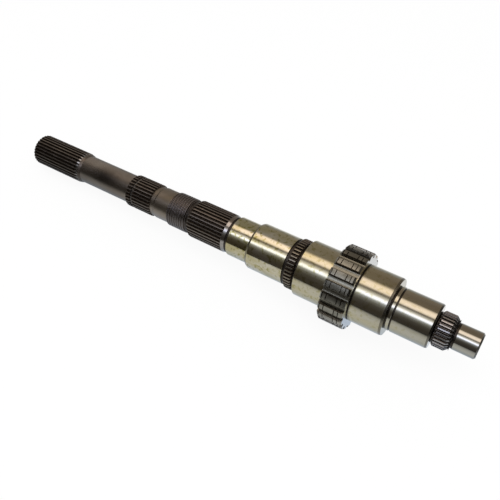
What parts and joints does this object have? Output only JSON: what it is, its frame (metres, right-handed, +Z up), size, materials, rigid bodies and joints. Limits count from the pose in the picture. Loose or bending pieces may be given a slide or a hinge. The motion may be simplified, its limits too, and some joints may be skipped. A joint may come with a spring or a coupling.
{
  "type": "transmission main shaft",
  "caption": "Stepped steel gearbox main shaft with a nose pilot, ground gear journals, a toothed shift hub, bearing seats, a nut thread and fine splines down to the output end.",
  "frame": {"origin": "on the bench, at the middle of the footprint of the shaft as it lies at rest", "axes": "+X towards the nose, the pilot end, +Z up. The shaft's axis lies in the XZ plane, and its nose is 3.12 degrees up, because it rests on two hub teeth and on the tail end of the output spline"},
  "size_m": [0.5318, 0.0776, 0.0787],
  "materials": {
    "steel": "ground journals with a film of oil, dark heat-treated splines and shank"
  },
  "bodies": {
    "root": {"main_shaft": "steel"}
  },
  "joints": []
}
